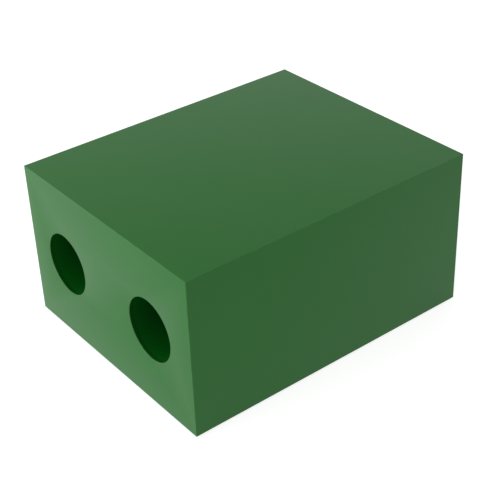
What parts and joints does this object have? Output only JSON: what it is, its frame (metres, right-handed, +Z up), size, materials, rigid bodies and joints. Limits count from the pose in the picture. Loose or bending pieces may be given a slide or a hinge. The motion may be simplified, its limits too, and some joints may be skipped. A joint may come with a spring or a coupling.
{
  "type": "mounting block",
  "caption": "Hollow rectangular mounting block in green plastic sheet, with parallel round tunnels running through it end to end and rubber feet underneath.",
  "frame": {"origin": "on the ground, under the middle of the block", "axes": "+Z up; +Y along the tunnels, from the front end to the rear end; +X across the end faces, to the right side"},
  "size_m": [0.404, 0.5, 0.257],
  "materials": {
    "green_sheet": "satin",
    "green_pipe": "satin",
    "black_sheet": "matte",
    "foot_rubber": "matte",
    "screw_steel": "satin"
  },
  "bodies": {
    "root": {"top_panel": "green_sheet", "front_end_panel": "green_sheet", "rear_end_panel": "green_sheet", "left_side_panel": "green_sheet", "right_side_panel": "green_sheet", "base_panel": "green_sheet", "tunnel_tube_left": "green_pipe", "tunnel_tube_right": "green_pipe", "front_bulkhead": "black_sheet", "rear_bulkhead": "black_sheet", "centre_web": "black_sheet", "corner_block_front_left": "black_sheet", "corner_block_front_right": "black_sheet", "corner_block_rear_left": "black_sheet", "corner_block_rear_right": "black_sheet", "side_cleat_left": "black_sheet", "side_cleat_right": "black_sheet", "end_cleat_front": "black_sheet", "end_cleat_rear": "black_sheet", "foot_front_left": "foot_rubber", "foot_front_right": "foot_rubber", "foot_rear_left": "foot_rubber", "foot_rear_right": "foot_rubber", "base_screw_1": "screw_steel", "base_screw_2": "screw_steel", "base_screw_3": "screw_steel", "base_screw_4": "screw_steel", "base_screw_5": "screw_steel", "base_screw_6": "screw_steel", "base_screw_7": "screw_steel", "base_screw_8": "screw_steel", "foot_washer_front_left": "screw_steel", "foot_washer_front_right": "screw_steel", "foot_washer_rear_left": "screw_steel", "foot_washer_rear_right": "screw_steel", "foot_screw_front_left": "screw_steel", "foot_screw_front_right": "screw_steel", "foot_screw_rear_left": "screw_steel", "foot_screw_rear_right": "screw_steel"}
  },
  "joints": []
}
